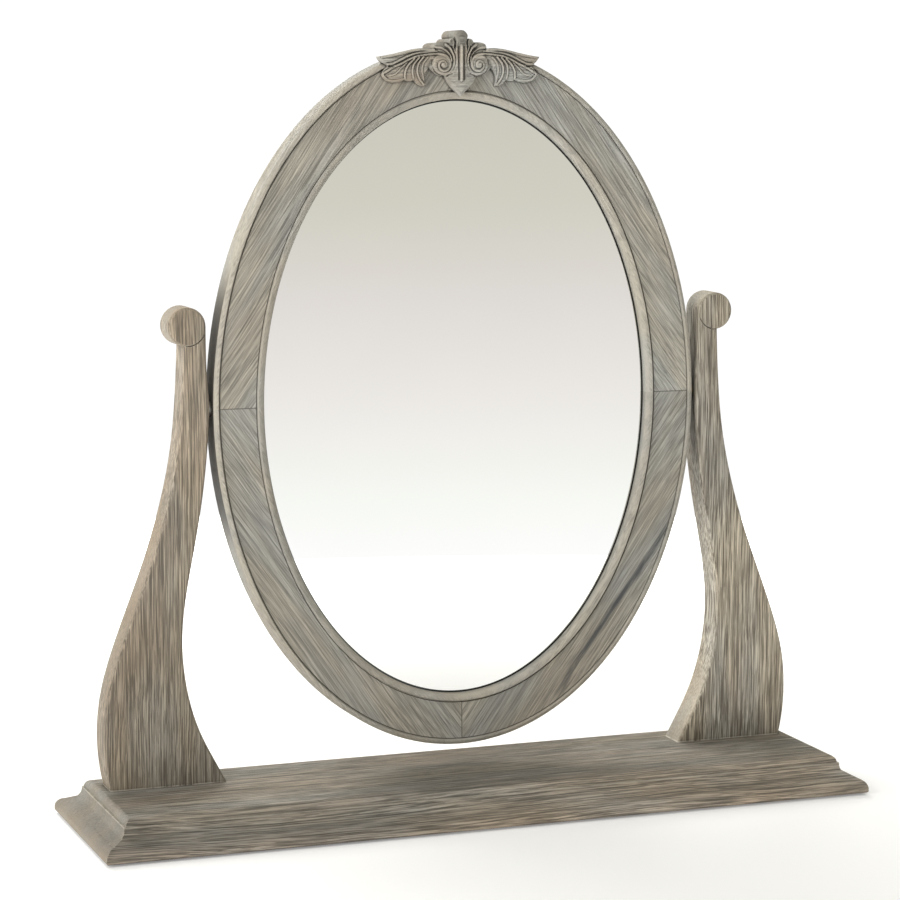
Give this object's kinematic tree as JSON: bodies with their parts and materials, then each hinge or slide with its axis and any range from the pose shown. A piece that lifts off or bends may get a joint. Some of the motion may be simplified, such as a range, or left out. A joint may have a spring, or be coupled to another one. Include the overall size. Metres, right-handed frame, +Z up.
{
  "type": "tabletop dressing mirror",
  "caption": "Oval mirror in a segmented oak frame with a carved crest, tilting between two scrolled uprights on a moulded rectangular plinth.",
  "frame": {"origin": "centre of the footprint, on the surface the mirror stands on", "axes": "+X along the plinth to the viewer's right, +Y from the glass side to the back, +Z up"},
  "size_m": [0.8, 0.216, 0.776],
  "materials": {
    "weathered_oak": "limed and waxed, grey-brown",
    "carved_oak": "limed, rubbed lighter on high edges",
    "beech": "bare",
    "plywood": "bare, sanded",
    "mirror": "silvered glass",
    "zinc_steel": "zinc plated",
    "brass": "turned",
    "nylon": "natural",
    "felt": "pressed felt"
  },
  "bodies": {
    "stand": {"plinth": "weathered_oak", "left_upright": "weathered_oak", "right_upright": "weathered_oak", "upright_dowels": "beech", "upright_screws": "zinc_steel", "felt_pads": "felt", "pivot_bushes": "brass"},
    "mirror": {"frame_upper_left": "weathered_oak", "frame_upper_right": "weathered_oak", "frame_lower_left": "weathered_oak", "frame_lower_right": "weathered_oak", "frame_tenons": "beech", "mirror_glass": "mirror", "backing_board": "plywood", "backing_screws": "zinc_steel", "crest_carving": "carved_oak", "crest_block": "weathered_oak", "crest_screws": "zinc_steel", "pivot_inserts": "brass", "pivot_pins": "zinc_steel", "friction_washers": "nylon"}
  },
  "joints": [
    {"name": "mirror_tilt", "type": "hinge", "parent": "stand", "child": "mirror", "pos_m": [0, 0.04, 0.409], "axis": [1, 0, 0], "range_deg": [-45, 45]}
  ]
}
